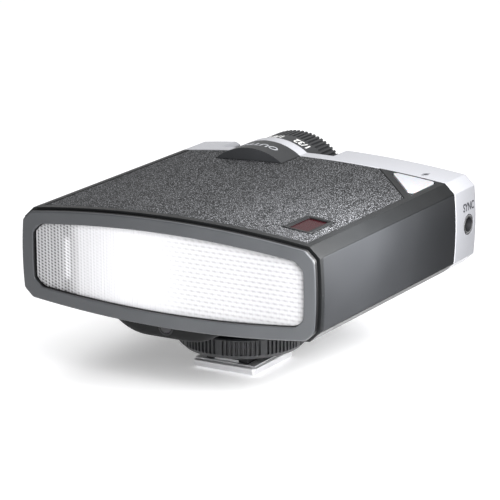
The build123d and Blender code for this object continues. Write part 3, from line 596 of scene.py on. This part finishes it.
def rounded_rectangle(half_x, half_y, radius, steps=8):
    """Points round a rectangle with quarter-circle corners, and the outward direction at each."""
    turn = np.linspace(0, np.pi / 2, steps)
    angle = np.concatenate([turn + quarter * np.pi / 2 for quarter in range(4)])
    outward = np.stack([np.cos(angle), np.sin(angle)], axis=1)
    corner = np.repeat(np.array([(1, 1), (-1, 1), (-1, -1), (1, -1)]), steps, axis=0)
    return corner * (half_x - radius, half_y - radius) + radius * outward, outward


def carried_round(path, outward, section):
    """A closed section of (distance out, height) points carried round a closed level path."""
    out, high = np.array(section).T
    plan = path[:, None, :] + outward[:, None, :] * out[None, :, None]
    height = np.broadcast_to(high, plan.shape[:2])
    turned_over = [0, 3, 2, 1]
    return plan, height, grid_faces(*height.shape, ring=True)[:, turned_over]


window_centre = (window_low + window_high) / 2
window_corner = 0.35 * mm
path, outward = rounded_rectangle((window_high.x - window_low.x) / 2,
                                  (window_high.y - window_low.y) / 2, window_corner)
frame_section = [(x * mm, z * mm) for x, z in [
    (0.04, -0.5), (1.05, -0.5), (1.05, 0.04), (0.92, 0.16), (0.5, 0.16), (0.04, -0.24)]]
plan, height, faces = carried_round(path, outward, frame_section)
frame_x = window_centre.x + plan[..., 0]
frame_y = window_centre.y + plan[..., 1]
points = np.stack([frame_x, frame_y, crown_height(frame_x) + height], axis=-1)
mesh_piece("window_frame", points, faces, shell_abs, "housing", smooth=False)

# %% [markdown]
# ## Prism lens
#
# The lens is a moulded acrylic sheet. Its outer face carries upright ribs and its inner face
# level ones, each a small cylinder lens, and together they spread the light into a rectangle.
# Its outline is the opening of the bezel: an arch above and below, and cut corners.

# %% Prism lens
lens_half = 38.8 * mm
lens_corner = 8.1 * mm
lens_run = 36.55 * mm
lens_crown = 2.1 * mm
corner_slope = 2.0 / 2.3
end_rounding, end_drop = 1.2 * mm, 0.75 * mm
rib_across = 0.75 * mm
rib_up = 1.16 * mm
rib_depth = 0.11 * mm


def lens_half_height(x):
    """Half the lens's height at x: the arch, the corner's straight cut or the end's rounding.

    The lowest of the three counts, and near a meeting of two the lower one is blended with
    the other, which rounds the corner between them."""
    arch = lens_corner + lens_crown * (1 - (x / lens_run) ** 2)
    cut = lens_corner - (np.abs(x) - lens_run) * corner_slope
    blend = 0.9 * mm
    near = np.clip(0.5 + (arch - cut) / (2 * blend), 0, 1)
    height = arch * (1 - near) + cut * near - blend * near * (1 - near)
    from_end = np.clip(lens_half - np.abs(x), 0, end_rounding) / end_rounding
    return height - end_drop * (1 - np.sqrt(1 - (1 - from_end) ** 2))


def ribs(along, pitch):
    """Height of a row of small cylinder lenses, each an upturned parabola one pitch wide."""
    share = along / pitch - np.floor(along / pitch)
    return rib_depth * (1 - (2 * share - 1) ** 2)


def gathered_light(x, z):
    """Painted brightness of the lens at each place, from 0 to 1: painted light that stands for the
    reflector's light seen through the prisms.

    The middle is brightest. Painted grey creases show, upright ones towards the left end where the
    prisms look past the reflector, level ones towards the right, and the reflector's end is a
    painted bright line."""
    across = x / lens_half
    upright = np.abs(2 * (x / (1.3 * rib_across) % 1) - 1)
    level = np.abs(2 * (z / rib_up % 1) - 1) ** 2
    fine = np.abs(2 * ((z / (0.7 * rib_up) + x / (2.6 * rib_across)) % 1) - 1)
    end = np.clip((-0.66 - across) / 0.08, 0, 1)
    left = np.clip((-0.32 - across) / 0.35, 0, 1)
    right = np.clip((across + 0.12) / 0.3, 0, 1)
    dash = 0.5 + 0.5 * np.cos(2 * np.pi * (x / (2.6 * rib_across) + z / (1.9 * rib_up)))
    fall = 0.88 - 0.34 * np.clip((across + 0.35) / 1.1, 0, 1)
    tone = fall * (1 - left * (0.06 + 0.4 * upright * fine) - end * (0.2 + 0.6 * upright * fine)
                   - right * 0.4 * level * (0.35 + 0.65 * dash))
    upper = np.clip((0.75 * lens_corner - np.abs(z)) / (0.2 * lens_corner), 0, 1)
    painted_bright_line = np.exp(-((across + 0.76) / 0.022) ** 2) * upper * (0.3 + 0.7 * (1 - fine))
    return np.clip(tone + 0.55 * painted_bright_line, 0, 1)


points_per_rib = 4
level_count = 111
columns = np.arange(-lens_half, lens_half + 1e-9, rib_across / points_per_rib)
columns[-1] = lens_half
levels = np.linspace(-1, 1, level_count)
LX, T = np.meshgrid(columns, levels)
LZ = T * lens_half_height(LX)
centre_z = (lens_low.z + lens_high.z) / 2
front = np.stack([LX, lens_low.y + rib_depth - ribs(LX, rib_across), LZ + centre_z], axis=-1)
rear = np.stack([LX, lens_high.y - rib_depth + ribs(LZ, rib_up), LZ + centre_z], axis=-1)
points, faces, used = closed_skin(front, rear, grid_faces(*LX.shape))
prism_lens = mesh_piece("prism_lens", points, faces, lens_acrylic, "housing")
# the lens's painted light, stored as an attribute for its material
shade = np.tile(gathered_light(LX, LZ).ravel(), 2)[used]
attribute = prism_lens.data.attributes.new("gathered_light", "FLOAT", "POINT")
attribute.data.foreach_set("value", shade.astype(np.float32))
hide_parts("fresnel_lens")

# %% [markdown]
# ## Printed figures
#
# Figures on the dial and words on the body are pad-printed: a film of ink a few hundredths of
# a millimetre thick. A text object is turned into a mesh, its flat letters are scaled to the
# printed size, and each point is then laid on the surface by a formula.

# %% Lettering


def lettering(text, width, height, thickness=0.05 * mm):
    """Points and faces of a word lying flat, centred, of a set width and height."""
    curve = bpy.data.curves.new("lettering", "FONT")
    curve.body = text
    curve.extrude = 0.5
    curve.offset = 0.012
    curve.resolution_u = 4
    holder = bpy.data.objects.new("lettering", curve)
    bpy.context.scene.collection.objects.link(holder)
    bpy.context.view_layer.update()
    mesh = bpy.data.meshes.new_from_object(holder)
    flat = np.zeros(len(mesh.vertices) * 3)
    mesh.vertices.foreach_get("co", flat)
    flat = flat.reshape(-1, 3)
    faces = [list(polygon.vertices) for polygon in mesh.polygons]
    bpy.data.objects.remove(holder)
    bpy.data.curves.remove(curve)
    bpy.data.meshes.remove(mesh)
    low, high = flat.min(0), flat.max(0)
    return (flat - (low + high) / 2) / (high - low) * (width, height, thickness), faces


def on_cylinder(points, radius, angle, y, lift=0.02 * mm):
    """Lays flat points on a cylinder about the dial's axis, tops towards the front.

    A point's x runs along the arc from angle, so its turn is x / radius; its y runs along
    the axis, and its z is its height above the surface."""
    turn = angle - points[:, 0] / radius
    out = radius + lift + points[:, 2]
    return np.stack([dial_centre.x + out * np.sin(turn), y - points[:, 1],
                     dial_centre.z + out * np.cos(turn)], axis=1)


def pad_print_ink(name, thin, full):
    """Matt ink whose film is thin in places about 0.4 mm across."""
    material, tree, shader, place = new_material(name, full, 0.45)
    film = fine_noise(tree, place, 0.4)
    tree.links.new(ramp(tree, film, ((0.25, thin), (0.6, full))), shader.inputs["Base Color"])
    return material


white_ink = pad_print_ink("white_pad_print_ink", "dededc", "f5f5f3")
grey_ink = pad_print_ink("grey_pad_print_ink", "97999d", "b2b4b9")
dark_ink = pad_print_ink("dark_pad_print_ink", "333439", "44454a")

# %% [markdown]
# The dial's seven settings are halvings of the full power, one every 30 degrees.

# %% Power settings round the dial
settings = ["1/64", "1/32", "1/16", "1/8", "1/4", "1/2", "1/1"]
first_angle = math.radians(-8.5)
spacing = math.radians(30)
label_y = dial_low.y + 3.1 * mm
figure_height = 2.6 * mm
long_width, short_width = 4.5 * mm, 3.33 * mm
for i, text in enumerate(settings):
    width = long_width if len(text) == 4 else short_width
    points, faces = lettering(text, width, figure_height)
    placed = on_cylinder(points, dial_radius, first_angle + i * spacing, label_y)
    mesh_piece("dial_figure_" + text.replace("/", "_"), placed, faces, white_ink, "dial",
               smooth=False)

# %% [markdown]
# The hood's word follows its cylinder. The socket's word lies on the bowed side above it.

# %% Words on the hood and at the socket
points, faces = lettering("OUTPUT", 14.0 * mm, 2.3 * mm)
placed = on_cylinder(points, hood_radius, math.radians(-5), (hood_low.y + hood_high.y) / 2)
mesh_piece("hood_word", placed, faces, grey_ink, "housing", smooth=False)

side_bow = 0.45 * mm
side_half = 9.2 * mm
side_radius = (side_half**2 + side_bow**2) / (2 * side_bow)
body_mid_z = (rear_low.z + rear_high.z) / 2


def side_reach(z):
    """How far the bowed side stands out at height z: a circle arc up and down the side."""
    return rear_high.x - side_radius + np.sqrt(side_radius**2 - (z - body_mid_z) ** 2)


socket = frame["record"]["mounts"][1]["pos_m"]
word_above_socket = 4.9 * mm
ink_sunk = 0.005 * mm
points, faces = lettering("SYNC", 6.2 * mm, 2.2 * mm)
letter_z = socket[2] + word_above_socket + points[:, 1]
placed = np.stack([side_reach(letter_z) + points[:, 2] - ink_sunk, socket[1] + points[:, 0],
                   letter_z], axis=1)
mesh_piece("socket_word", placed, faces, dark_ink, "housing", smooth=False)

# %% [markdown]
# A small lightning mark stands beside the test button, on the rear housing. It is an outline
# of seven points raised into a thin prism.

# %% Lightning mark
bolt = np.array([(0.55, 1.0), (0.1, 0.42), (0.46, 0.42), (0.28, 0.0), (0.9, 0.6), (0.54, 0.6),
                 (0.8, 1.0)]) - 0.5
bolt_size = (2.2 * mm, 3.2 * mm)
bolt_place = (32.3 * mm, rear_low.y + 5.9 * mm)
bolt_x = bolt_place[0] - bolt[:, 0] * bolt_size[0]
bolt_y = bolt_place[1] - bolt[:, 1] * bolt_size[1]
bolt_lift, bolt_thickness = 0.05 * mm, 0.1 * mm
ink_top = np.stack([bolt_x, bolt_y, crown_height(bolt_x) + bolt_lift], axis=1)
ink_foot = ink_top - (0, 0, bolt_thickness)
corners = np.arange(len(bolt))
after = np.roll(corners, -1)
walls = np.stack([corners + len(bolt), after + len(bolt), after, corners], axis=1).tolist()
faces = [corners.tolist(), (corners[::-1] + len(bolt)).tolist()] + walls
mesh_piece("lightning_mark", np.concatenate([ink_top, ink_foot]), faces, dark_ink, "housing",
           smooth=False)

# %% [markdown]
# ## Socket ring
#
# The sync socket's mouth is a turned, nickel-plated ring. A turned part is a profile carried
# round an axis: the profile gives a distance from the axis and a place along it, and the
# angle does the rest.

# %% Socket ring


def turned_about_x(profile, centre, steps=64):
    """A closed profile of (radius, x) points carried round an axis along X."""
    angle = np.linspace(0, 2 * np.pi, steps, endpoint=False)
    radius, along_x = np.array(profile).T
    R, A = np.meshgrid(radius, angle)
    XX = along_x[None, :] + 0 * A
    points = np.stack([XX, centre[1] + R * np.cos(A), centre[2] + R * np.sin(A)], axis=-1)
    return points, grid_faces(*A.shape, ring=True)


ring_nickel = metal("nickel_plated_brass_turned", "e6e6e8", 0.35)
mouth = rear_high.x + 0.02 * mm
ring_profile = [(1.82, -1.2), (2.6, -1.2), (2.6, -0.22), (2.52, -0.06), (2.4, 0.0), (2.15, 0.0),
                (1.95, -0.12), (1.82, -0.35)]
points, faces = turned_about_x([(r * mm, mouth + x * mm) for r, x in ring_profile], socket)
mesh_piece("socket_ring", points, faces, ring_nickel, "housing")

# %% [markdown]
# ## Studio
#
# A pale floor that runs on to a pale wall without a corner, a large soft light above, a small
# one near the right front corner, and a narrow strip of light along the side panel. A black
# card lies on the floor to the right.

# %% Floor and lights
studio_paper, tree, shader, place = new_material(
    "matt_paper_backdrop", "f4f4f5", 0.9, Emission_Color=(1.0, 1.0, 1.0, 1.0),
    Emission_Strength=0.3)
speck = fine_noise(tree, place, 40.0)
tree.links.new(ramp(tree, speck, ((0.3, "f3f3f4"), (0.7, "f6f6f7"))), shader.inputs["Base Color"])

# the sweep's first half is the level floor, its second half a quarter of an oval going up
floor_z = cad_box[0][2] - 0.1 * mm
floor_front, floor_back, wall_height, sweep_half_width = -2.5, 1.6, 2.2, 3
span = np.linspace(0, 1, 60)
bend = np.clip((span - 0.5) / 0.5, 0, 1) * np.pi / 2
level_y = np.interp(span, [0, 0.5], [floor_front, floor_back])
profile_y = np.where(span < 0.5, level_y, floor_back + np.sin(bend))
profile_z = floor_z + np.where(span < 0.5, 0, 1 - np.cos(bend)) * wall_height
SX, _ = np.meshgrid(np.linspace(-sweep_half_width, sweep_half_width, 12), span)
SY, SZ = profile_y[:, None] + 0 * SX, profile_z[:, None] + 0 * SX
mesh = bpy.data.meshes.new("studio_sweep")
mesh.from_pydata(np.stack([SX, SY, SZ], axis=-1).reshape(-1, 3).tolist(), [],
                 grid_faces(*SX.shape).tolist())
mesh.materials.append(studio_paper)
mesh.polygons.foreach_set("use_smooth", np.ones(len(mesh.polygons), bool))
floor = bpy.data.objects.new("studio_sweep", mesh)
bpy.context.scene.collection.objects.link(floor)


def soft_light(name, place, target, size, power, size_y=None):
    """A rectangular area light at place, facing target."""
    data = bpy.data.lights.new(name, "AREA")
    data.energy = power
    data.size = size
    if size_y:
        data.shape = "RECTANGLE"
        data.size_y = size_y
    light = bpy.data.objects.new(name, data)
    light.location = place
    light.rotation_euler = (Vector(target) - Vector(place)).to_track_quat("-Z", "Y").to_euler()
    bpy.context.scene.collection.objects.link(light)
    return light


# where the lights are and what they face, in metres
right_front_corner = (0.03, -0.02, 0.032)
panel_middle = (0.043, -0.016, 0.036)
body_middle = (0, 0, 0.035)
lights = [
    soft_light("near_right_softbox", (0.105, -0.09, 0.085), right_front_corner, 0.055, 0.3),
    soft_light("panel_strip", (0.072, -0.016, 0.056), panel_middle, 0.012, 0.14, 0.04),
    soft_light("overhead_softbox", (-0.05, 0.15, 0.8), body_middle, 1.0, 6.6, 0.8),
]
for light in lights:
    light.visible_camera = False

# the black card keeps the floor's reflection off the side panel's lower half; the camera
# doesn't see it and it casts no shadow
(card_left, card_right), (card_front, card_back) = (0.05, 0.26), (-0.12, 0.34)
card_z = floor_z + 1 * mm
card_corners = [(card_left, card_front, card_z), (card_right, card_front, card_z),
                (card_right, card_back, card_z), (card_left, card_back, card_z)]
card_mesh = bpy.data.meshes.new("black_card")
card_mesh.from_pydata(card_corners, [], [(0, 1, 2, 3)])
card_mesh.materials.append(new_material("black_card_paper", "060606", 0.95)[0])
card = bpy.data.objects.new("black_card", card_mesh)
bpy.context.scene.collection.objects.link(card)
card.visible_camera = False
card.visible_shadow = False

world = bpy.data.worlds.new("studio_world")
world.use_nodes = True
world.node_tree.nodes["Background"].inputs["Color"].default_value = (1.0, 1.0, 1.0, 1)
world.node_tree.nodes["Background"].inputs["Strength"].default_value = 0.2
bpy.context.scene.world = world
bpy.context.scene.view_settings.view_transform = "Standard"
